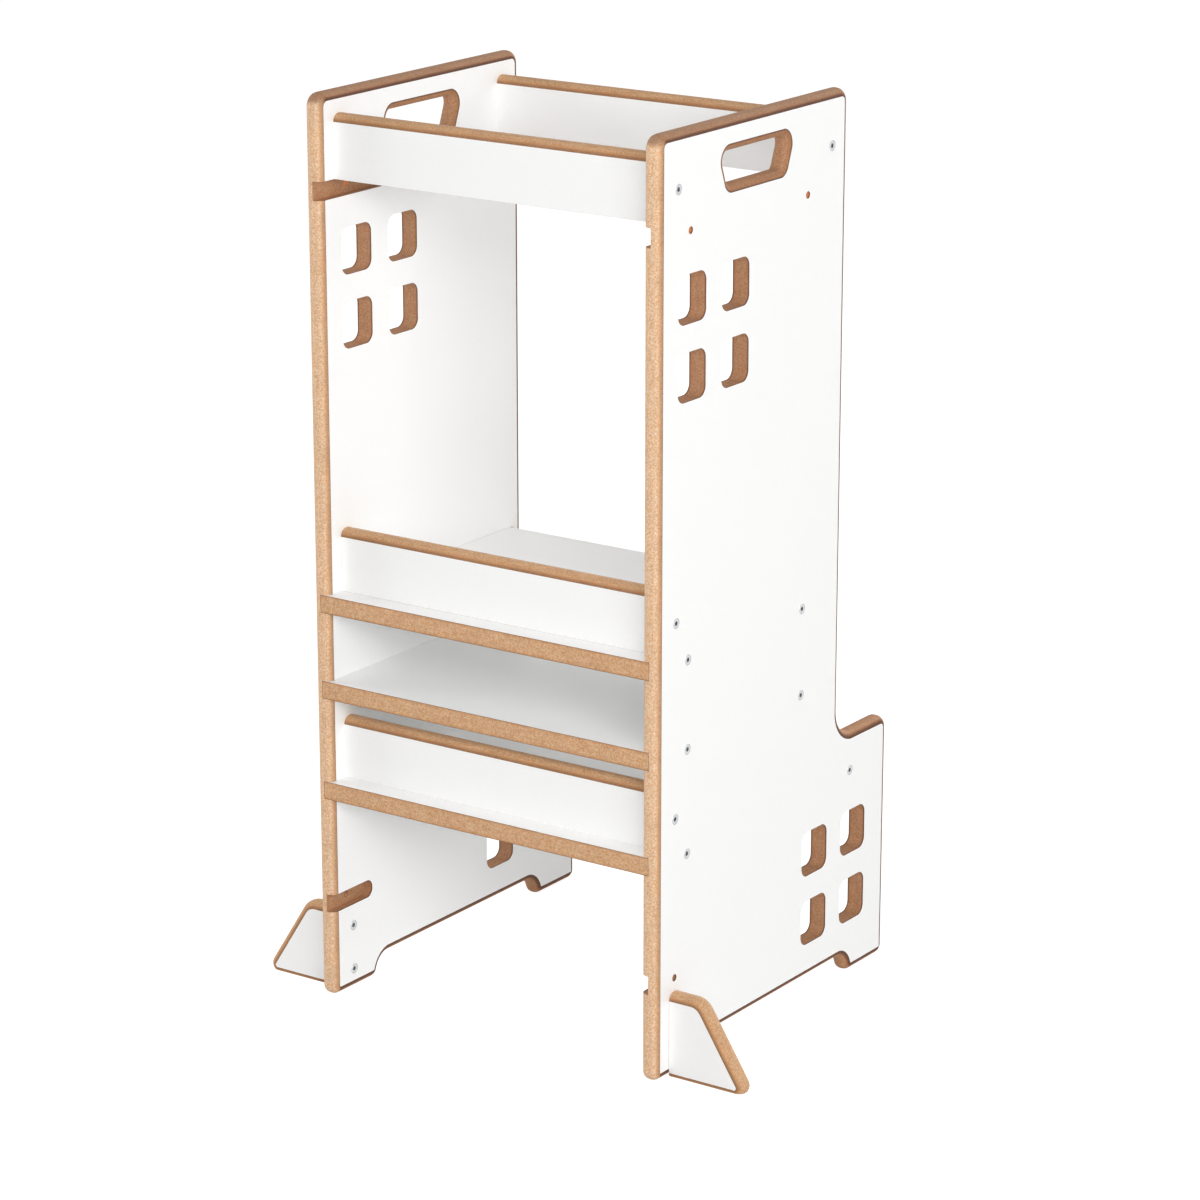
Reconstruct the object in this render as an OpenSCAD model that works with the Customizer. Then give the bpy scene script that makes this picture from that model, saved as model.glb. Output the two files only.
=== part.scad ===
// Kitchen helper tower for a small child: two side panels with a climbing step at the back,
// three boards housed in grooves, guard rails, kick boards and a stabiliser wing on each side.
// Millimetres. Z is up, the front faces -Y, and the origin is on the floor under the middle.

/* [Boards] */
// Thickness of every board
board_t = 18; // [17:0.5:24]
// Radius of the round-over along the exposed board edges
edge_r = 8; // [4:0.5:8]

/* [Side panels] */
// Height of the side panels, floor to top edge
panel_h = 900; // [860:1:1000]
// Depth of the upper part of a side panel, front to back
panel_d = 320; // [310:1:400]
// Width over the outer faces of the two side panels
tower_w = 400; // [340:1:520]
// Depth that the climbing step adds behind the upper part
step_d = 94; // [80:1:140]
// Height of the side panel's top edge above the step board
step_lip = 31; // [26:1:50]
// Radius of the top corners and of the step's rear corner
corner_r = 13; // [9:1:30]
// Radius of the inside corner where the step leaves the upper part
step_fillet_r = 28; // [12:1:50]

/* [Feet] */
// Length of each foot along the floor, front and rear
foot_l = 71; // [50:1:100]
// Radius of the hollow curves at the arch's two ends, which sets the arch's height
arch_r = 19; // [14:1:30]
// Radius of the foot corners at the floor
foot_corner_r = 9; // [5:0.5:12]

/* [Heights of the boards] */
// Height of the standing platform's top face
platform_z = 414; // [390:1:450]
// Height of the middle board's top face
middle_z = 327; // [300:1:350]
// Height of the step board's top face
step_z = 224; // [205:1:240]
// Distance from the boards' rear edges to the panels' rear edges
rear_inset = 20; // [18:1:30]

/* [Grooves] */
// Depth of the grooves in the inner faces
groove_d = 9; // [5:0.5:10]
// Radius of the grooves' rounded rear ends
groove_end_r = 8.5; // [4:0.5:8.5]
// Height of the short lower groove's middle above the floor
brace_z = 97; // [94:1:110]
// Length of the short lower groove from the front edge
brace_l = 62; // [50:1:80]

/* [Rails and kick boards] */
// Height of the guard rails and kick boards
rail_h = 62; // [56:1:70]
// Distance from the top edge of the panels down to the top rails
rail_drop = 21; // [15:1:35]
// Distance from the front edge back to the rails, kick boards and wings
front_inset = 22; // [18:1:30]

/* [Hand holes] */
// Greatest width of a hand hole, at its narrowest section
grip_w = 106; // [90:1:130]
// Length of a hand hole's straight slanted ends, which sets its height
grip_side_l = 16.5; // [8:0.5:20]
// Distance from the panel's top edge down to the hand hole
grip_drop = 31; // [26:1:35]
// Radius of the hand hole's upper corners
grip_top_r = 8; // [5:1:12]
// Radius of the hand hole's lower corners
grip_bottom_r = 6; // [4:1:10]
// Round-over along the edges of the hand holes
grip_edge_r = 8; // [3:0.5:8]

/* [Windows] */
// Width and height of each small window
window_w = 46; // [36:1:50]
// Distance between the middles of neighbouring windows
window_pitch = 72; // [66:1:74]
// Corner radius of the windows
window_r = 10; // [4:1:15]
// Distance from the front edge to the middle of the upper group
upper_windows_y = 90; // [84:1:110]
// Distance from the top edge down to the middle of the upper group
upper_windows_drop = 190.5; // [185:0.5:230]
// Distance from the rear edge to the middle of the lower group
lower_windows_inset = 100; // [90:1:120]
// Height of the middle of the lower group above the floor
lower_windows_z = 114; // [110:1:120]

/* [Stabiliser wings] */
// How far a wing reaches out from the side panel
wing_reach = 83; // [70:1:120]
// Length of a wing's straight slanted edge
wing_slope_l = 75; // [60:1:76]
// Radius of a wing's upper corner
wing_knee_r = 20; // [10:1:25]
// Radius of a wing's toe
wing_toe_r = 10; // [9:0.5:14]
// How far the rounded foot edge of a wing is planed flat
wing_plane = 4; // [0.5:0.5:6]

/* [Screws and dowels] */
// Length of a screw, head included
screw_l = 50; // [40:1:60]
// Diameter of a screw's head
head_d = 10; // [9:0.5:12]
// Diameter of a screw's neck, and of the spare holes
neck_d = 7; // [6:0.5:8]
// Length of a screw from the top of the head to the end of the neck
neck_l = 12; // [10:1:14]
// Diameter of a screw's threaded shank
shank_d = 5; // [4:0.5:5.5]
// Width across the flats of the socket in a screw's head
socket_w = 4; // [3:0.5:5]
// Distance from a board's front or rear edge to its screws
board_screw_inset = 51; // [40:1:60]
// Height of a wing's lower screw above the floor
wing_screw_z = 20; // [16:1:24]
// Distance between a wing's two screws
wing_screw_pitch = 46; // [30:1:46]
// Diameter of a dowel
dowel_d = 8; // [6:0.5:10]
// Length of a dowel
dowel_l = 30; // [24:1:40]
// Depth of a dowel's hole in the side panel
dowel_in_panel = 11; // [8:0.5:13]
// Distance from a rail's screw down to its dowel
dowel_drop = 18; // [14:1:20]

/* [Hidden] */
$fn = 64;

// Flags for the edge that starts at an outline's corner
ROUNDED = 1;
SQUARE = 0;
// Clearance round a board in its groove, and round screws and dowels
fit_gap = 0.1;
// Clearance between a board's end and the bottom of its groove, and past a screw's or dowel's end
end_gap = 0.5;
// How far cuts run past a face, and edge pieces run into the plain middle of a board
overrun = 1;
// How far inside a rounded edge that plain middle begins
lap = 0.5;

base_d = panel_d + step_d;
inner_w = tower_w - 2 * board_t;
board_d = panel_d - rear_inset;
step_board_d = base_d - rear_inset;
step_top = step_z + step_lip;
spare_z = panel_h - rail_drop - rail_h;
front_y = -base_d / 2;
front_screw_y = front_inset + board_t / 2;
rear_screw_y = board_d - board_t / 2;
half_t = board_t / 2;
head_rim = head_d / 10;
head_cone = head_d / 4;
socket_depth = socket_w * 0.9;
tip_l = shank_d / 2;
window_places = [for (across = [-1, 1], up = [-1, 1]) [across, up] * window_pitch / 2];

// Outlines are lists of arcs, anticlockwise: each is [centre x, centre y, radius, way, flag], where
// way is the unit vector of the straight edge that leaves the arc. A negative radius is an inside
// corner, and a radius of 0 is a sharp one.
RIGHT = [1, 0];
UP = [0, 1];
LEFT = [-1, 0];
DOWN = [0, -1];
// Slanted edges keep to directions whose two parts are short decimals, so that neighbouring
// pieces meet exactly
ARCH_RISE = [0.28, 0.96];
ARCH_FALL = [0.28, -0.96];
WING_SLOPE = [-0.5376, 0.8432];
GRIP_RISE = [0.352, 0.936];
GRIP_FALL = [0.352, -0.936];

function place(arc) = [arc.x, arc.y];
function inward(u) = [-u.y, u.x];
function heading(u) = atan2(u.y, u.x);
function turn(u, v) = atan2(u.x * v.y - u.y * v.x, u.x * v.x + u.y * v.y);
function before(path, i) = path[(i + len(path) - 1) % len(path)];
function after(path, i) = path[(i + 1) % len(path)];
function arc_start(path, i) = place(path[i]) - path[i][2] * inward(before(path, i)[3]);
function arc_end(path, i) = place(path[i]) - path[i][2] * inward(path[i][3]);
function middle_inset(e, flag) = e == 0 || flag == SQUARE ? 0 : max(e, 0) + lap;
// Point that lies d1 inside the edge before a corner and d2 inside the one after it
function inset_corner(corner, u1, u2, d1, d2) =
    let (n1 = inward(u1), n2 = inward(u2))
    corner + [d1 * n2.y - d2 * n1.y, n1.x * d2 - n2.x * d1] / (n1.x * n2.y - n1.y * n2.x);
// Corner at which the two edges beside an arc would meet
function sharp_corner(path, i) =
    inset_corner(place(path[i]), before(path, i)[3], path[i][3], -path[i][2], -path[i][2]);
// How far from an inside corner's centre its corner piece reaches into the board
function inside_reach(r, e, phi) = (r + e + lap) / cos(phi / 2) + overrun;
function middle_points(path, e) = [for (i = [0 : len(path) - 1])
    let (u1 = before(path, i)[3], u2 = path[i][3],
         d1 = middle_inset(e, before(path, i)[4]), d2 = middle_inset(e, path[i][4]))
    each path[i][2] > 0 ? [arc_start(path, i) + d1 * inward(u1), arc_end(path, i) + d2 * inward(u2)]
       : [inset_corner(sharp_corner(path, i), u1, u2, d1, d2)]];

// Section through a board: it starts at x = 0 and its edge is at x = depth.
// A positive e rounds the edge; a negative one flares the edge of a cutter, whose two ends
// stand out from the board's faces by one overrun.
module rim_section(depth, e, t) {
    if (e > 0) {
        square([depth - e, t]);
        translate([depth - e, e]) square([e, t - 2 * e]);
        for (side = [0, 1]) intersection() {
            translate([depth - e, side * (t - e)]) square(e);
            translate([depth - e, e + side * (t - 2 * e)]) circle(e);
        }
    } else {
        square([depth, t]);
        if (e < 0) for (side = [0, 1]) difference() {
            translate([depth - overrun, side * (t - overrun + e)]) square([overrun - e, overrun - e]);
            translate([depth - e, overrun - e + side * (t - 2 * (overrun - e))]) circle(-e);
        }
    }
}

// The same section with its edge at x = 0, where the board runs towards +X
module edge_section(depth, e, t) {
    translate([depth, 0]) mirror([1, 0]) rim_section(depth, e, t);
}

// Rounded corner of a board: a full turn of the edge's section, kept between its two edges' ends
module corner_piece(path, i, t, e) {
    r = abs(path[i][2]);
    u1 = before(path, i)[3];
    u2 = path[i][3];
    e1 = e * before(path, i)[4];
    convex = path[i][2] > 0;
    reach = convex ? r : inside_reach(r, e1, turn(u1, u2));
    out1 = (convex ? -1 : 1) * ceil(2 * (reach + abs(e1))) * inward(u1);
    out2 = (convex ? -1 : 1) * ceil(2 * (reach + abs(e1))) * inward(u2);
    translate(place(path[i])) intersection() {
        rotate_extrude()
            if (convex) rim_section(r, e1, t);
            else translate([r, 0]) edge_section(reach - r, e1, t);
        translate([0, 0, -overrun]) linear_extrude(t + 2 * overrun)
            polygon([[0, 0], out1, out1 + out2, out2]);
    }
}

// Flat board of thickness t on the XY plane, with rounded corners and its edges shaped by e
module board(path, t, e) {
    linear_extrude(t) polygon(middle_points(path, e));
    for (i = [0 : len(path) - 1]) {
        u = path[i][3];
        length = (arc_start(path, (i + 1) % len(path)) - arc_end(path, i)) * u;
        if (e * path[i][4] != 0 && length > fit_gap)
            translate(arc_end(path, i)) rotate(heading(u)) rotate([90, 0, 90])
                linear_extrude(length) edge_section(max(e, 0) + overrun, e, t);
        if (path[i][2] != 0) corner_piece(path, i, t, e);
    }
}

// Cutter for a hole right through a board of thickness t, with its two mouths flared
module through_cut(path, t, flare = 0) {
    translate([0, 0, -overrun]) board(path, t + 2 * overrun, -flare);
}

// Stands a flat board up as a side panel: its X runs back, its Y up and its thickness outwards
module stand_up() {
    translate([0, front_y, 0]) rotate([90, 0, 90]) children();
}

// Both halves of something that is mirrored from side to side
module both_sides() {
    children();
    mirror([1, 0, 0]) children();
}

function at_least_round(r) = max(r, edge_r + overrun);

// Centre of an arc of radius r that follows an arc of radius r0 at c0 directly, where the edge
// between them would run along u
function next_centre(c0, r0, u, r) = c0 + (r - r0) * inward(u);

function panel_outline() =
    let (foot_r = at_least_round(foot_corner_r), top_r = at_least_round(corner_r),
         front = [foot_l - foot_r, foot_r], rear = [base_d - foot_l + foot_r, foot_r],
         front_arch = next_centre(front, foot_r, ARCH_RISE, -arch_r),
         rear_arch = [base_d - front_arch.x, front_arch.y])
    [[foot_r, foot_r, foot_r, RIGHT, ROUNDED],
     [front.x, front.y, foot_r, ARCH_RISE, ROUNDED],
     [front_arch.x, front_arch.y, -arch_r, RIGHT, ROUNDED],
     [rear_arch.x, rear_arch.y, -arch_r, ARCH_FALL, ROUNDED],
     [rear.x, rear.y, foot_r, RIGHT, ROUNDED],
     [base_d - foot_r, foot_r, foot_r, UP, ROUNDED],
     [base_d - top_r, step_top - top_r, top_r, LEFT, ROUNDED],
     [panel_d + step_fillet_r, step_top + step_fillet_r, -step_fillet_r, UP, ROUNDED],
     [panel_d - top_r, panel_h - top_r, top_r, LEFT, ROUNDED],
     [top_r, panel_h - top_r, top_r, DOWN, ROUNDED]];

function window_outline(y, z) =
    let (reach = window_w / 2 - window_r)
    [[y - reach, z - reach, window_r, RIGHT, SQUARE],
     [y + reach, z - reach, window_r, UP, SQUARE],
     [y + reach, z + reach, window_r, LEFT, SQUARE],
     [y - reach, z + reach, window_r, DOWN, SQUARE]];

// Hand hole: wider above than below, so that the fingers find the upper edge
function grip_outline() =
    let (y = panel_d / 2, reach = grip_w / 2 - grip_top_r, top = panel_h - grip_drop - grip_top_r,
         corner = [y + reach, top] - grip_side_l * GRIP_RISE,
         bottom = next_centre(corner, grip_top_r, GRIP_RISE, grip_bottom_r))
    [[2 * y - bottom.x, bottom.y, grip_bottom_r, RIGHT, ROUNDED],
     [bottom.x, bottom.y, grip_bottom_r, GRIP_RISE, ROUNDED],
     [y + reach, top, grip_top_r, LEFT, ROUNDED],
     [y - reach, top, grip_top_r, GRIP_FALL, ROUNDED]];

function groove_outline(length, middle) =
    let (half_h = half_t + fit_gap, y = length - groove_end_r, reach = half_h - groove_end_r)
    [[-overrun, middle - half_h, 0, RIGHT, SQUARE],
     [y, middle - reach, groove_end_r, UP, SQUARE],
     [y, middle + reach, groove_end_r, LEFT, SQUARE],
     [-overrun, middle + half_h, 0, DOWN, SQUARE]];

function wing_outline() =
    let (toe_r = at_least_round(wing_toe_r), knee_r = at_least_round(wing_knee_r),
         toe = [wing_reach - toe_r, toe_r - wing_plane],
         knee = next_centre(toe, toe_r, WING_SLOPE, knee_r) + wing_slope_l * WING_SLOPE,
         top = knee.y + knee_r)
    [[0, -wing_plane, 0, RIGHT, ROUNDED],
     [toe.x, toe.y, toe_r, WING_SLOPE, ROUNDED],
     [knee.x, knee.y, knee_r, LEFT, ROUNDED],
     [0, top, 0, DOWN, SQUARE]];

// Screw along X: the top of the head is at x = 0 and the point is towards -X.
// With a gap it is the stepped hole that the screw goes into.
module screw_shape(gap) {
    top = gap > 0 ? overrun : 0;
    end = screw_l + (gap > 0 ? end_gap : 0);
    rotate([0, 90, 0]) rotate_extrude() polygon([
        [0, top],
        [head_d / 2 + gap, top],
        [head_d / 2 + gap, -head_rim],
        [neck_d / 2 + gap, -head_rim - head_cone],
        [neck_d / 2 + gap, -neck_l - gap],
        [shank_d / 2 + gap, -neck_l - gap],
        [shank_d / 2 + gap, tip_l - end],
        [0, -end]]);
}

module screw() {
    difference() {
        screw_shape(0);
        rotate([0, 90, 0]) translate([0, 0, -socket_depth])
            cylinder(h = socket_depth + overrun, d = socket_w / cos(30), $fn = 6);
    }
}

// Dowel along X, pushed into the side panel at x = 0 and reaching towards -X
module dowel_shape(gap) {
    room = gap > 0 ? end_gap : 0;
    translate([dowel_in_panel - end_gap - dowel_l - room, 0, 0]) rotate([0, 90, 0])
        cylinder(h = dowel_l + 2 * room, d = dowel_d + 2 * gap);
}

// Places of the screws that come in through the outer face of the right side panel, as [y, z]
function board_screws(depth, top) = [for (y = [board_screw_inset, depth - board_screw_inset]) [y, top - half_t]];
platform_places = board_screws(board_d, platform_z);
middle_places = board_screws(board_d, middle_z);
step_places = board_screws(step_board_d, step_z);
top_front_places = [[front_screw_y, spare_z + rail_h / 2]];
top_rear_places = [[rear_screw_y, spare_z + rail_h / 2]];
upper_kick_places = [[front_screw_y, platform_z + rail_h / 2]];
lower_kick_places = [[front_screw_y, step_z + rail_h / 2]];
spare_places = concat(board_screws(board_d, spare_z), [[front_screw_y, brace_z]]);
wing_places = [for (z = [wing_screw_z, wing_screw_z + wing_screw_pitch]) [front_screw_y, z]];
rail_places = concat(top_front_places, top_rear_places, upper_kick_places, lower_kick_places);
outer_places = concat(platform_places, middle_places, step_places, rail_places);

// Puts children at places on the right side panel's outer face, or at x from the middle
module at_places(places, x = tower_w / 2) {
    for (p = places) translate([x, front_y + p.x, p.y]) children();
}

module outer_screws(places, gap = 0) {
    at_places(places) if (gap > 0) screw_shape(gap); else screw();
}

// A wing's screws start from the inner face of the side panel and point outwards
module wing_screws(gap = 0) {
    at_places(wing_places, inner_w / 2) mirror([1, 0, 0]) if (gap > 0) screw_shape(gap); else screw();
}

module rail_dowels(places, gap = 0) {
    at_places([for (p = places) [p.x, p.y - dowel_drop]], inner_w / 2) dowel_shape(gap);
}

module side_panel() {
    difference() {
        translate([inner_w / 2, 0, 0]) stand_up() difference() {
            board(panel_outline(), board_t, edge_r);
            through_cut(grip_outline(), board_t, grip_edge_r);
            for (p = window_places) {
                through_cut(window_outline(upper_windows_y + p.x, panel_h - upper_windows_drop + p.y), board_t);
                through_cut(window_outline(base_d - lower_windows_inset + p.x, lower_windows_z + p.y), board_t);
            }
            translate([0, 0, -overrun]) {
                for (top = [platform_z, middle_z, spare_z])
                    board(groove_outline(board_d + groove_end_r, top - half_t), groove_d + overrun, 0);
                board(groove_outline(step_board_d + groove_end_r, step_z - half_t), groove_d + overrun, 0);
                board(groove_outline(brace_l, brace_z), groove_d + overrun, 0);
            }
        }
        outer_screws(outer_places, fit_gap);
        wing_screws(fit_gap);
        rail_dowels(rail_places, fit_gap);
        at_places(spare_places) translate([-board_t, 0, 0]) rotate([0, 90, 0])
            cylinder(h = board_t + overrun, d = neck_d);
    }
}

// Board that lies in the grooves of both side panels
module housed_board(depth, top, places) {
    length = inner_w + 2 * (groove_d - end_gap);
    color("whitesmoke") difference() {
        translate([-length / 2, front_y, top - board_t]) cube([length, depth, board_t]);
        both_sides() outer_screws(places, fit_gap);
    }
}

// Rail between the side panels: square below, rounded along the top
module rail(y, bottom, places) {
    outline = [[-inner_w / 2, 0, 0, RIGHT, SQUARE], [inner_w / 2, 0, 0, UP, SQUARE],
               [inner_w / 2, rail_h, 0, LEFT, ROUNDED], [-inner_w / 2, rail_h, 0, DOWN, SQUARE]];
    color("whitesmoke") difference() {
        translate([0, front_y + y + board_t, bottom]) rotate([90, 0, 0]) board(outline, board_t, edge_r);
        both_sides() {
            outer_screws(places, fit_gap);
            rail_dowels(places, fit_gap);
        }
    }
}

module wing() {
    color("whitesmoke") difference() {
        translate([tower_w / 2, front_y + front_inset + board_t, 0]) rotate([90, 0, 0])
            board(wing_outline(), board_t, edge_r);
        translate([0, front_y, -wing_plane - overrun])
            cube([tower_w / 2 + wing_reach + overrun, front_inset + board_t + overrun, wing_plane + overrun]);
        wing_screws(fit_gap);
    }
}

module side_panel_right() { color("whitesmoke") side_panel(); }
module side_panel_left() { color("whitesmoke") mirror([1, 0, 0]) side_panel(); }
module platform_board() { housed_board(board_d, platform_z, platform_places); }
module middle_board() { housed_board(board_d, middle_z, middle_places); }
module step_board() { housed_board(step_board_d, step_z, step_places); }
module top_rail_front() { rail(front_inset, spare_z, top_front_places); }
module top_rail_rear() { rail(board_d - board_t, spare_z, top_rear_places); }
module upper_kick_board() { rail(front_inset, platform_z, upper_kick_places); }
module lower_kick_board() { rail(front_inset, step_z, lower_kick_places); }
module wing_right() { wing(); }
module wing_left() { mirror([1, 0, 0]) wing(); }
module platform_screws() { color("silver") both_sides() outer_screws(platform_places); }
module middle_board_screws() { color("silver") both_sides() outer_screws(middle_places); }
module step_board_screws() { color("silver") both_sides() outer_screws(step_places); }
module top_rail_front_screws() { color("silver") both_sides() outer_screws(top_front_places); }
module top_rail_rear_screws() { color("silver") both_sides() outer_screws(top_rear_places); }
module upper_kick_screws() { color("silver") both_sides() outer_screws(upper_kick_places); }
module lower_kick_screws() { color("silver") both_sides() outer_screws(lower_kick_places); }
module wing_right_screws() { color("silver") wing_screws(); }
module wing_left_screws() { color("silver") mirror([1, 0, 0]) wing_screws(); }
module top_rail_front_dowels() { color("burlywood") both_sides() rail_dowels(top_front_places); }
module top_rail_rear_dowels() { color("burlywood") both_sides() rail_dowels(top_rear_places); }
module upper_kick_dowels() { color("burlywood") both_sides() rail_dowels(upper_kick_places); }
module lower_kick_dowels() { color("burlywood") both_sides() rail_dowels(lower_kick_places); }

side_panel_left();
side_panel_right();
platform_board();
middle_board();
step_board();
top_rail_front();
top_rail_rear();
upper_kick_board();
lower_kick_board();
wing_left();
wing_right();
platform_screws();
middle_board_screws();
step_board_screws();
top_rail_front_screws();
top_rail_rear_screws();
upper_kick_screws();
lower_kick_screws();
wing_left_screws();
wing_right_screws();
top_rail_front_dowels();
top_rail_rear_dowels();
upper_kick_dowels();
lower_kick_dowels();
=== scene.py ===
# Kitchen helper tower: white-faced fibreboard with bare brown edges, in a plain white studio.
import math

import bmesh
import bpy
from mathutils import Euler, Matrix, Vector


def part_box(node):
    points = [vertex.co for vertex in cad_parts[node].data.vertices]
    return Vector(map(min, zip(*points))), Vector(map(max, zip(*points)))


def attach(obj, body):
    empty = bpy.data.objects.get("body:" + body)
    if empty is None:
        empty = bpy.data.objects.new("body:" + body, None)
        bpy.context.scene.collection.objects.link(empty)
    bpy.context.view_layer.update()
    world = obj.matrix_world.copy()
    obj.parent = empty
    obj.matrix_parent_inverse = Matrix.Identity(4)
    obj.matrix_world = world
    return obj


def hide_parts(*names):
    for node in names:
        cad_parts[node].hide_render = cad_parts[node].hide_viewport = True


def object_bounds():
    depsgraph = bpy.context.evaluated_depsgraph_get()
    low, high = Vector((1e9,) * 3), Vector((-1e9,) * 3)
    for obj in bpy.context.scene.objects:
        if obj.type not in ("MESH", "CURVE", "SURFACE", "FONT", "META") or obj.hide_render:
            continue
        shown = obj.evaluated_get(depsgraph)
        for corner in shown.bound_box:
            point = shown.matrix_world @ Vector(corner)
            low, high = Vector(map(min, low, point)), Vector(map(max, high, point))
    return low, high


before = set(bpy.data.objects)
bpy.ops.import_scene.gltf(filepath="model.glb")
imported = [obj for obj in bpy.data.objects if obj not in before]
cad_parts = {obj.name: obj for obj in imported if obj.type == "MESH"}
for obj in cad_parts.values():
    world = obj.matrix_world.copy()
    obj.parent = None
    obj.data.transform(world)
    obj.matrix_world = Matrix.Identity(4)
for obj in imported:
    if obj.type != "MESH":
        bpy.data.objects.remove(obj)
cad_low, cad_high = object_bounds()

MM = 0.001
X, Y, Z = 0, 1, 2

# The boards by the direction of their faces
PANELS = ("side_panel_left", "side_panel_right")
SHELVES = ("platform_board", "middle_board", "step_board")
UPRIGHTS = ("top_rail_front", "top_rail_rear", "upper_kick_board", "lower_kick_board", "wing_left",
            "wing_right")

# How the CAD meshes are cleaned, and how wide their sharp edges are broken
WELD = 0.004 * MM
FLAT_WITHIN = math.radians(0.4)
SHARP_OVER = math.radians(32)
BOARD_ARRIS = 0.35 * MM
FASTENER_ARRIS = 0.25 * MM

# The side panels: thickness, distance of the inner faces from the middle, front and top of the outline, and
# how far in the front edge's painted light and the top's painted shade reach before they fade
PANEL_T = 18 * MM
INNER_FACE = 182 * MM
FRONT = cad_low.y
TOP = cad_high.z
FADE_START = 8 * MM
FADE_END = 12 * MM

# Places on a side panel, behind its front edge and above the ground, with half their widths and heights
SPARE_HOLES = ((51 * MM, 808 * MM), (249 * MM, 808 * MM))
SPARE_REACH = 4.5 * MM
GRIP_Y = 160 * MM
GRIP_Z = 854 * MM
GRIP_REACH_Y = 75 * MM
GRIP_REACH_Z = 26 * MM

# Slopes, as parts of a surface's normal: where the front's painted light is full, where the top's painted
# shade starts and is full, and up to where a wall counts as the wall of a hole
FORWARD_FULL = -0.15
UPWARD_START = 0.05
UPWARD_FULL = 0.5
BORE_SLANT = 0.3

# Depths below a board's face, counted in mm: the white facing and the dense skin beneath it
FACING_DEPTH = 0.02
DENSE_DEPTH = 3.5

# The scorched line along the facing: its strength from 0 to 1, and its width counted in mm. Along the
# panels' top it is thinner by TOP_THINNER, and its ragged border lies between two shares of its width
PANEL_SCORCH = 0.95
FRONT_SCORCH = 0.3
PANEL_BURNT = 2.2
GRIP_BURNT = 0.35
TOP_THINNER = 1.1
SHELF_SCORCH = 0.85
SHELF_BURNT = 0.9
UPRIGHT_SCORCH = 0.5
UPRIGHT_BURNT = 1.2
RAGGED_LOW_SHARE = 0.6
RAGGED_HIGH_SHARE = 1.4

# Sizes of the patterns
FLECK_SIZE = 1.6 * MM
CLOUD_SIZE = 12 * MM
LINE_WIDTH = 2 * MM
LINE_LENGTH = 30 * MM
PEARL_SIZE = 1.5 * MM
ZINC_GRIT = 0.6 * MM
BEECH_FLECK_W = 0.7 * MM
BEECH_FLECK_L = 6 * MM

# How many finer layers a pattern has, and how strong they are in the flecks
DETAIL = 2.0
PEARL_DETAIL = 1.0
FLECK_HARSHNESS = 0.6

# How much each pattern darkens or lightens
LINE_SHADES = {"To Min": 0.92, "To Max": 1.06}
CLOUD_SHADES = {"To Min": 0.96, "To Max": 1.04}
PEARL_SHADES = {"To Min": 0.985, "To Max": 1.005}

# Gloss and relief of the bare fibre, the facing and the fasteners
FIBRE_ROUGHNESS = {"To Min": 0.68, "To Max": 0.85}
FACING_ROUGHNESS = 0.38
BOARD_IOR = 1.5
ZINC_ROUGHNESS = {"To Min": 0.25, "To Max": 0.42}
BEECH_ROUGHNESS = 0.55
FIBRE_RELIEF = 0.2
FACING_RELIEF = 0.05
RELIEF_HEIGHT = 0.15 * MM

# Colours: the facing, the bare edges by place, what multiplies them, the scorch and the fasteners
WHITE = "#fafaf9"
# Painted light: the pale tone of the panels' front edge, where it faces forward
EDGE_FRONT_PAINTED_LIGHT = "#ecceaf"
EDGE_MID = "#d9b590"
EDGE_BROWN = "#bd9473"
EDGE_GRIP = "#b48d6d"
# Painted shade: the darker, greyer tone of the panels' top
EDGE_TOP_PAINTED_SHADE = "#b39074"
# Painted light: the bright orange inside the spare holes
EDGE_SPARE_PAINTED_LIGHT = "#f2b277"
FLECK = "#e6c8a8"
DENSE_TINT = "#f3e5d5"
UNCHANGED = "#ffffff"
SCORCH = "#522b14"
ZINC = "#c9cbcd"
BEECH = "#dcb38a"
BEECH_DARK = "#b98a60"

# The studio: how bright its floor is, half of its width in metres, and how bright the room is as a light
# and where it is seen
FLOOR_SEEN = "#a0a0a0"
FLOOR_UNSEEN = "#e6e6e6"
FLOOR_GLOW = 0.88
FLOOR_HALF = 30.0
STUDIO_WHITE = "#ffffff"
ROOM_LIGHT = 0.4
ROOM_SEEN = 1.0

# The lamps: name, place, width and height in metres, and power in watts
LAMPS = (
    ("front_right_softbox", (3.1, -2.7, 1.9), 3.4, 1.6, 113),
    ("left_softbox", (-3.6, -1.0, 1.5), 1.2, 1.2, 50),
    ("rear_softbox", (0.5, 3.8, 1.5), 1.8, 1.8, 70),
)
LAMP_AIM = (0.0, 0.0, 0.45)

# The photograph's view: the camera's place in metres, its angles, and its lens and sensor in mm
CAMERA_PLACE = (2.2160, -3.2132, 1.5590)
CAMERA_TILT = math.radians(73.33)
CAMERA_TURN = math.radians(34.673)
CAMERA_LENS = 124.86
CAMERA_REACH = 100.0
SENSOR_W = 36.0

# A Mix node's inputs by number, since several have one name, and what add takes to mix colours
FACTOR = 0
FLOAT_A, FLOAT_B = 2, 3
COLOUR_A, COLOUR_B = 6, 7
MIX_COLOUR = {"out": 2, "data_type": "RGBA"}
MULTIPLY_COLOUR = {"out": 2, "data_type": "RGBA", "blend_type": "MULTIPLY"}

# The ranges of a noise that are spread over a pattern's range
NOISE_MIDDLE = {"From Min": 0.35, "From Max": 0.65}
NOISE_WIDE = {"From Min": 0.3, "From Max": 0.7}
NOISE_PEAKS = {"From Min": 0.5, "From Max": 0.7}


def linear(hex_colour):
    """An sRGB hex colour as the linear colour that a shader takes."""
    parts = [int(hex_colour[i:i + 2], 16) / 255 for i in (1, 3, 5)]
    return [c / 12.92 if c <= 0.04045 else ((c + 0.055) / 1.055) ** 2.4 for c in parts] + [1.0]


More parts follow.
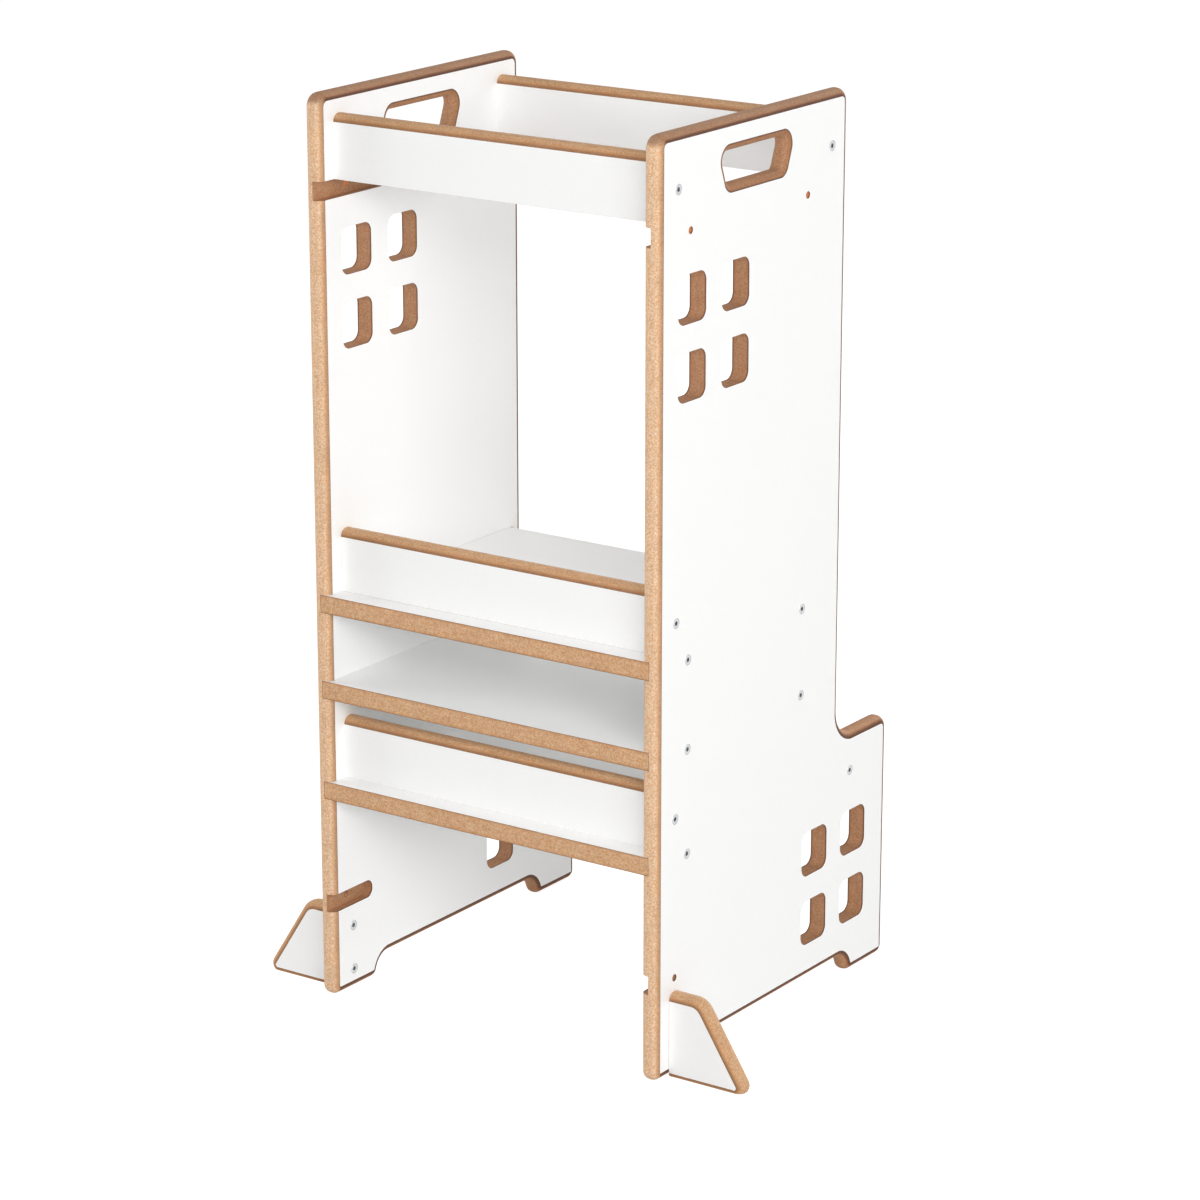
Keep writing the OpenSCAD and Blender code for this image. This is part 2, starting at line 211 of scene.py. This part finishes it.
def add(tree, kind, links=None, out=0, **settings):
    """Adds a node with its settings, links or sets its inputs, and gives one of its outputs."""
    node = tree.nodes.new(kind)
    for name, value in settings.items():
        setattr(node, name, value)
    for name, value in (links or {}).items():
        if isinstance(value, bpy.types.NodeSocket):
            tree.links.new(value, node.inputs[name])
        else:
            node.inputs[name].default_value = value
    return node.outputs[out] if len(node.outputs) else node


def start_material(name):
    """A named material with an empty node tree."""
    material = bpy.data.materials.new(name)
    material.use_nodes = True
    material.node_tree.nodes.clear()
    return material, material.node_tree


def depth_below_face(tree, across, low, high):
    """How deep a point lies below the nearer face of its board, counted in mm."""
    centred = add(tree, "ShaderNodeMath", {0: across, 1: (low + high) / 2}, operation="SUBTRACT")
    off_middle = add(tree, "ShaderNodeMath", {0: centred}, operation="ABSOLUTE")
    below = add(tree, "ShaderNodeMath", {0: (high - low) / 2, 1: off_middle}, operation="SUBTRACT")
    return add(tree, "ShaderNodeMath", {0: below, 1: 1 / MM}, operation="MULTIPLY")


def bare_fibre(tree, tone, depth, specks, clouds, lines):
    """The bare edge's colour: its tone with darker flecks, router lines, clouds and a dense skin."""
    fleck = add(tree, "ShaderNodeMapRange", {"Value": specks, **NOISE_MIDDLE})
    flecked = add(tree, "ShaderNodeMix",
                  {FACTOR: fleck, COLOUR_A: linear(FLECK), COLOUR_B: linear(UNCHANGED)}, **MIX_COLOUR)
    inward = add(tree, "ShaderNodeMapRange",
                 {"Value": depth, "From Min": FACING_DEPTH, "From Max": DENSE_DEPTH},
                 interpolation_type="SMOOTHSTEP")
    dense = add(tree, "ShaderNodeMix",
                {FACTOR: inward, COLOUR_A: linear(DENSE_TINT), COLOUR_B: linear(UNCHANGED)}, **MIX_COLOUR)
    lined = add(tree, "ShaderNodeMapRange", {"Value": lines, **NOISE_WIDE, **LINE_SHADES})
    cloudy = add(tree, "ShaderNodeMapRange", {"Value": clouds, **NOISE_WIDE, **CLOUD_SHADES})
    shade = add(tree, "ShaderNodeMath", {0: lined, 1: cloudy}, operation="MULTIPLY")
    fibre = tone
    for layer in (flecked, shade, dense):
        fibre = add(tree, "ShaderNodeMix", {FACTOR: 1.0, COLOUR_A: fibre, COLOUR_B: layer},
                    **MULTIPLY_COLOUR)
    return fibre


def scorched_fibre(tree, fibre, depth, specks, scorched, burnt):
    """The bare edge with a dark line in its dense skin, whose inner border is ragged."""
    ragged = add(tree, "ShaderNodeMapRange",
                 {"Value": specks, **NOISE_MIDDLE, "To Min": RAGGED_LOW_SHARE, "To Max": RAGGED_HIGH_SHARE})
    border = add(tree, "ShaderNodeMath", {0: ragged, 1: burnt}, operation="MULTIPLY")
    burn = add(tree, "ShaderNodeMapRange",
               {"Value": depth, "From Min": FACING_DEPTH, "From Max": border, "To Min": 1.0, "To Max": 0.0},
               interpolation_type="SMOOTHSTEP")
    burn = add(tree, "ShaderNodeMath", {0: burn, 1: scorched}, operation="MULTIPLY")
    return add(tree, "ShaderNodeMix", {FACTOR: burn, COLOUR_A: fibre, COLOUR_B: linear(SCORCH)},
               **MIX_COLOUR)


def faced_fibreboard(name, axis, low, high, tones):
    """Medium density fibreboard with a white melamine facing on both sides, cut and rounded with a
    router and oiled. The eye sees a satin white skin with a thin dark scorched line along it, and a
    bare brown edge with fine fibre specks and faint lines that run along the board."""
    material, tree = start_material(name)
    place = add(tree, "ShaderNodeTexCoord", out="Object")
    split = add(tree, "ShaderNodeSeparateXYZ", {0: place}).node.outputs
    across = split[axis]
    if axis == X:
        # Both side panels share this material, one on each side of the middle
        across = add(tree, "ShaderNodeMath", {0: across}, operation="ABSOLUTE")
    depth = depth_below_face(tree, across, low, high)
    facing = add(tree, "ShaderNodeTexCoord", out="Normal")
    slant = add(tree, "ShaderNodeSeparateXYZ", {0: facing}).node.outputs
    tone, scorched, burnt = tones(tree, split, slant)

    # Fibre flecks, coarser than the real ones so that they show, and clouds
    specks = add(tree, "ShaderNodeTexNoise",
                 {"Vector": place, "Scale": 1 / FLECK_SIZE, "Detail": DETAIL, "Roughness": FLECK_HARSHNESS})
    clouds = add(tree, "ShaderNodeTexNoise", {"Vector": place, "Scale": 1 / CLOUD_SIZE, "Detail": DETAIL})
    # Router lines, narrow across the board's thickness, with finer ones between, which follow the edge
    grain = [1 / LINE_LENGTH] * 3
    grain[axis] = 1 / LINE_WIDTH
    stretched = add(tree, "ShaderNodeMapping", {"Vector": place, "Scale": grain})
    lines = add(tree, "ShaderNodeTexNoise", {"Vector": stretched, "Scale": 1.0, "Detail": DETAIL})
    fibre = bare_fibre(tree, tone, depth, specks, clouds, lines)
    core = scorched_fibre(tree, fibre, depth, specks, scorched, burnt)

    # A dust-fine pearl in the white facing, too faint to read as a pattern
    pearl = add(tree, "ShaderNodeTexNoise",
                {"Vector": place, "Scale": 1 / PEARL_SIZE, "Detail": PEARL_DETAIL})
    pearled = add(tree, "ShaderNodeMapRange", {"Value": pearl, **NOISE_WIDE, **PEARL_SHADES})
    white = add(tree, "ShaderNodeMix", {FACTOR: 1.0, COLOUR_A: linear(WHITE), COLOUR_B: pearled},
                **MULTIPLY_COLOUR)

    faced = add(tree, "ShaderNodeMath", {0: depth, 1: FACING_DEPTH}, operation="LESS_THAN")
    colour = add(tree, "ShaderNodeMix", {FACTOR: faced, COLOUR_A: core, COLOUR_B: white}, **MIX_COLOUR)
    gloss = add(tree, "ShaderNodeMapRange", {"Value": specks, **NOISE_WIDE, **FIBRE_ROUGHNESS})
    roughness = add(tree, "ShaderNodeMix", {FACTOR: faced, FLOAT_A: gloss, FLOAT_B: FACING_ROUGHNESS},
                    data_type="FLOAT")
    grained = add(tree, "ShaderNodeMath", {0: specks, 1: lines}, operation="ADD")
    height = add(tree, "ShaderNodeMix", {FACTOR: faced, FLOAT_A: grained, FLOAT_B: pearl}, data_type="FLOAT")
    relief = add(tree, "ShaderNodeMix", {FACTOR: faced, FLOAT_A: FIBRE_RELIEF, FLOAT_B: FACING_RELIEF},
                 data_type="FLOAT")
    bumped = add(tree, "ShaderNodeBump", {"Height": height, "Strength": relief, "Distance": RELIEF_HEIGHT})
    shader = add(tree, "ShaderNodeBsdfPrincipled",
                 {"Base Color": colour, "Roughness": roughness, "Normal": bumped, "IOR": BOARD_IOR})
    add(tree, "ShaderNodeOutputMaterial", {"Surface": shader})
    return material


def near_place(tree, split, y, z, reach_y, reach_z):
    """1 in a rectangle round a place on a side panel, and 0 elsewhere."""
    beside = add(tree, "ShaderNodeMath", {0: split[Y], 1: FRONT + y, 2: reach_y}, operation="COMPARE")
    level = add(tree, "ShaderNodeMath", {0: split[Z], 1: z, 2: reach_z}, operation="COMPARE")
    return add(tree, "ShaderNodeMath", {0: beside, 1: level}, operation="MULTIPLY")


def panel_tones(tree, split, slant):
    """The front edge is palest, a painted light where it faces forward, and hardly scorched; the top is
    greyer and darker, a painted shade where it faces up; the cut-outs are brown with dark rims, the hand
    hole has a thin rim, and the spare holes are painted brighter, as painted light in the holes."""
    # Painted light: the front edge is paler where it faces forward
    near_front = add(tree, "ShaderNodeMapRange",
                     {"Value": split[Y], "From Min": FRONT + FADE_START, "From Max": FRONT + FADE_END,
                      "To Min": 1.0, "To Max": 0.0})
    forward = add(tree, "ShaderNodeMapRange", {"Value": slant[Y], "From Min": 0.0, "From Max": FORWARD_FULL})
    on_front = add(tree, "ShaderNodeMath", {0: near_front, 1: forward}, operation="MULTIPLY")
    # Painted shade: the top is darker and greyer where it faces up
    near_top = add(tree, "ShaderNodeMapRange",
                   {"Value": split[Z], "From Min": TOP - FADE_END, "From Max": TOP - FADE_START})
    upward = add(tree, "ShaderNodeMapRange",
                 {"Value": slant[Z], "From Min": UPWARD_START, "From Max": UPWARD_FULL})
    on_top = add(tree, "ShaderNodeMath", {0: near_top, 1: upward}, operation="MULTIPLY")
    in_grip = near_place(tree, split, GRIP_Y, GRIP_Z, GRIP_REACH_Y, GRIP_REACH_Z)
    bore_wall = add(tree, "ShaderNodeMath", {0: slant[X], 1: 0.0, 2: BORE_SLANT}, operation="COMPARE")

    zones = [(on_front, EDGE_FRONT_PAINTED_LIGHT), (on_top, EDGE_TOP_PAINTED_SHADE)]
    # Painted light: the spare holes are brighter than the other edges
    for y, z in SPARE_HOLES:
        round_hole = near_place(tree, split, y, z, SPARE_REACH, SPARE_REACH)
        in_spare = add(tree, "ShaderNodeMath", {0: round_hole, 1: bore_wall}, operation="MULTIPLY")
        zones.append((in_spare, EDGE_SPARE_PAINTED_LIGHT))
    zones.append((in_grip, EDGE_GRIP))
    tone = linear(EDGE_BROWN)
    for zone, colour in zones:
        tone = add(tree, "ShaderNodeMix", {FACTOR: zone, COLOUR_A: tone, COLOUR_B: linear(colour)},
                   **MIX_COLOUR)

    scorched = add(tree, "ShaderNodeMapRange",
                   {"Value": on_front, "To Min": PANEL_SCORCH, "To Max": FRONT_SCORCH})
    burnt = add(tree, "ShaderNodeMapRange", {"Value": in_grip, "To Min": PANEL_BURNT, "To Max": GRIP_BURNT})
    burnt = add(tree, "ShaderNodeMath", {0: on_top, 1: -TOP_THINNER, 2: burnt}, operation="MULTIPLY_ADD")
    return tone, scorched, burnt


def even_tone(hex_colour, scorched, burnt):
    """The same tone and the same scorched line along all edges of a board."""
    def tones(tree, split, slant):
        return linear(hex_colour), scorched, burnt
    return tones


def board_material(node, axis, scorched, burnt):
    """The faced fibreboard of one shelf, rail, kick board or wing, whose faces lie across an axis."""
    low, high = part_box(node)
    tones = even_tone(EDGE_MID, scorched, burnt)
    return faced_fibreboard("white_faced_" + node, axis, low[axis], high[axis], tones)


def zinc_screw():
    """Zinc-plated steel, turned: bright grey with a gloss that is a little uneven."""
    material, tree = start_material("zinc_plated_steel")
    place = add(tree, "ShaderNodeTexCoord", out="Object")
    grit = add(tree, "ShaderNodeTexNoise", {"Vector": place, "Scale": 1 / ZINC_GRIT, "Detail": DETAIL})
    rough = add(tree, "ShaderNodeMapRange", {"Value": grit, **NOISE_WIDE, **ZINC_ROUGHNESS})
    shader = add(tree, "ShaderNodeBsdfPrincipled",
                 {"Base Color": linear(ZINC), "Metallic": 1.0, "Roughness": rough})
    add(tree, "ShaderNodeOutputMaterial", {"Surface": shader})
    return material


def beech():
    """Turned beech dowel: pale pinkish brown with short dark flecks along its length."""
    material, tree = start_material("turned_beech")
    place = add(tree, "ShaderNodeTexCoord", out="Object")
    grain = (1 / BEECH_FLECK_L, 1 / BEECH_FLECK_W, 1 / BEECH_FLECK_W)
    along = add(tree, "ShaderNodeMapping", {"Vector": place, "Scale": grain})
    flecks = add(tree, "ShaderNodeTexNoise", {"Vector": along, "Scale": 1.0, "Detail": DETAIL})
    dark = add(tree, "ShaderNodeMapRange", {"Value": flecks, **NOISE_PEAKS})
    colour = add(tree, "ShaderNodeMix",
                 {FACTOR: dark, COLOUR_A: linear(BEECH), COLOUR_B: linear(BEECH_DARK)}, **MIX_COLOUR)
    shader = add(tree, "ShaderNodeBsdfPrincipled", {"Base Color": colour, "Roughness": BEECH_ROUGHNESS})
    add(tree, "ShaderNodeOutputMaterial", {"Surface": shader})
    return material


def dressed(node, material, arris):
    """A copy of a CAD node with its sharp edges broken and its rounds smooth, which stands for it."""
    piece = bpy.data.objects.new(node + "_dressed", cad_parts[node].data.copy())
    bpy.context.scene.collection.objects.link(piece)
    shape = bmesh.new()
    shape.from_mesh(piece.data)
    bmesh.ops.remove_doubles(shape, verts=shape.verts, dist=WELD)
    bmesh.ops.dissolve_limit(shape, angle_limit=FLAT_WITHIN, verts=shape.verts, edges=shape.edges,
                             delimit={"NORMAL"})
    sharp = [e for e in shape.edges if e.is_manifold and e.is_convex and e.calc_face_angle() > SHARP_OVER]
    bmesh.ops.bevel(shape, geom=sharp, offset=arris, offset_type="OFFSET", affect="EDGES", segments=1,
                    profile=0.5, material=-1, clamp_overlap=True)
    shape.to_mesh(piece.data)
    shape.free()
    piece.data.materials.clear()
    piece.data.materials.append(material)
    piece.data.shade_smooth()
    piece.data.set_sharp_from_angle(angle=SHARP_OVER)
    weighted = piece.modifiers.new("even_faces", "WEIGHTED_NORMAL")
    weighted.keep_sharp = True
    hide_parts(node)
    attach(piece, "root")


def seen_directly(tree):
    """1 for the camera's own rays and for mirrored or refracted ones, and 0 for diffuse light."""
    rays = add(tree, "ShaderNodeLightPath").node.outputs
    seen = add(tree, "ShaderNodeMath", {0: rays["Is Camera Ray"], 1: rays["Is Glossy Ray"]},
               operation="MAXIMUM")
    return add(tree, "ShaderNodeMath", {0: seen, 1: rays["Is Transmission Ray"]}, operation="MAXIMUM")


def pale_floor():
    """Matt paper that also glows where it is seen, so that it looks as white as the room."""
    material, tree = start_material("pale_floor")
    seen = seen_directly(tree)
    paint = add(tree, "ShaderNodeMix",
                {FACTOR: seen, COLOUR_A: linear(FLOOR_UNSEEN), COLOUR_B: linear(FLOOR_SEEN)}, **MIX_COLOUR)
    paper = add(tree, "ShaderNodeBsdfDiffuse", {"Color": paint})
    glow = add(tree, "ShaderNodeEmission", {"Color": linear(STUDIO_WHITE), "Strength": FLOOR_GLOW})
    lit = add(tree, "ShaderNodeAddShader", {0: paper, 1: glow})
    both = add(tree, "ShaderNodeMixShader", {0: seen, 1: paper, 2: lit})
    add(tree, "ShaderNodeOutputMaterial", {"Surface": both})
    return material


def lay_floor():
    """The studio's floor, which isn't part of the tower."""
    mesh = bpy.data.meshes.new("floor")
    floor = bpy.data.objects.new("floor", mesh)
    bpy.context.scene.collection.objects.link(floor)
    ground = bmesh.new()
    bmesh.ops.create_grid(ground, x_segments=1, y_segments=1, size=FLOOR_HALF)
    ground.to_mesh(mesh)
    ground.free()
    mesh.materials.append(pale_floor())


def light_room():
    """An even white world, bright where it is seen and softer where it lights the tower."""
    world = bpy.data.worlds.new("white_studio")
    bpy.context.scene.world = world
    world.use_nodes = True
    tree = world.node_tree
    tree.nodes.clear()
    seen = seen_directly(tree)
    strength = add(tree, "ShaderNodeMix", {FACTOR: seen, FLOAT_A: ROOM_LIGHT, FLOAT_B: ROOM_SEEN},
                   data_type="FLOAT")
    sky = add(tree, "ShaderNodeBackground", {"Color": linear(STUDIO_WHITE), "Strength": strength})
    add(tree, "ShaderNodeOutputWorld", {"Surface": sky})


def place_lamp(name, place, width, height, power):
    """A soft rectangular lamp that faces the tower."""
    data = bpy.data.lights.new(name, "AREA")
    data.shape = "RECTANGLE"
    data.size = width
    data.size_y = height
    data.energy = power
    lamp = bpy.data.objects.new(name, data)
    bpy.context.scene.collection.objects.link(lamp)
    lamp.location = place
    lamp.rotation_euler = (Vector(LAMP_AIM) - Vector(place)).to_track_quat("-Z", "Y").to_euler()


def place_camera():
    """The camera at the photograph's angle, and the view transform that keeps colours as they are."""
    camera = bpy.data.objects.new("camera", bpy.data.cameras.new("camera"))
    bpy.context.scene.collection.objects.link(camera)
    camera.location = CAMERA_PLACE
    camera.rotation_euler = Euler((CAMERA_TILT, 0.0, CAMERA_TURN))
    camera.data.lens = CAMERA_LENS
    camera.data.sensor_width = SENSOR_W
    camera.data.clip_end = CAMERA_REACH
    bpy.context.scene.camera = camera
    bpy.context.scene.view_settings.view_transform = "Standard"


# The tower
outer_face = INNER_FACE + PANEL_T
panel_material = faced_fibreboard("white_faced_side_panel", X, INNER_FACE, outer_face, panel_tones)
for node in PANELS:
    dressed(node, panel_material, BOARD_ARRIS)
for node in SHELVES:
    dressed(node, board_material(node, Z, SHELF_SCORCH, SHELF_BURNT), BOARD_ARRIS)
for node in UPRIGHTS:
    dressed(node, board_material(node, Y, UPRIGHT_SCORCH, UPRIGHT_BURNT), BOARD_ARRIS)
steel = zinc_screw()
wood = beech()
for node in sorted(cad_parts):
    if node.endswith("_screws"):
        dressed(node, steel, FASTENER_ARRIS)
    if node.endswith("_dowels"):
        dressed(node, wood, FASTENER_ARRIS)

# The studio
lay_floor()
light_room()
for lamp_row in LAMPS:
    place_lamp(*lamp_row)
place_camera()
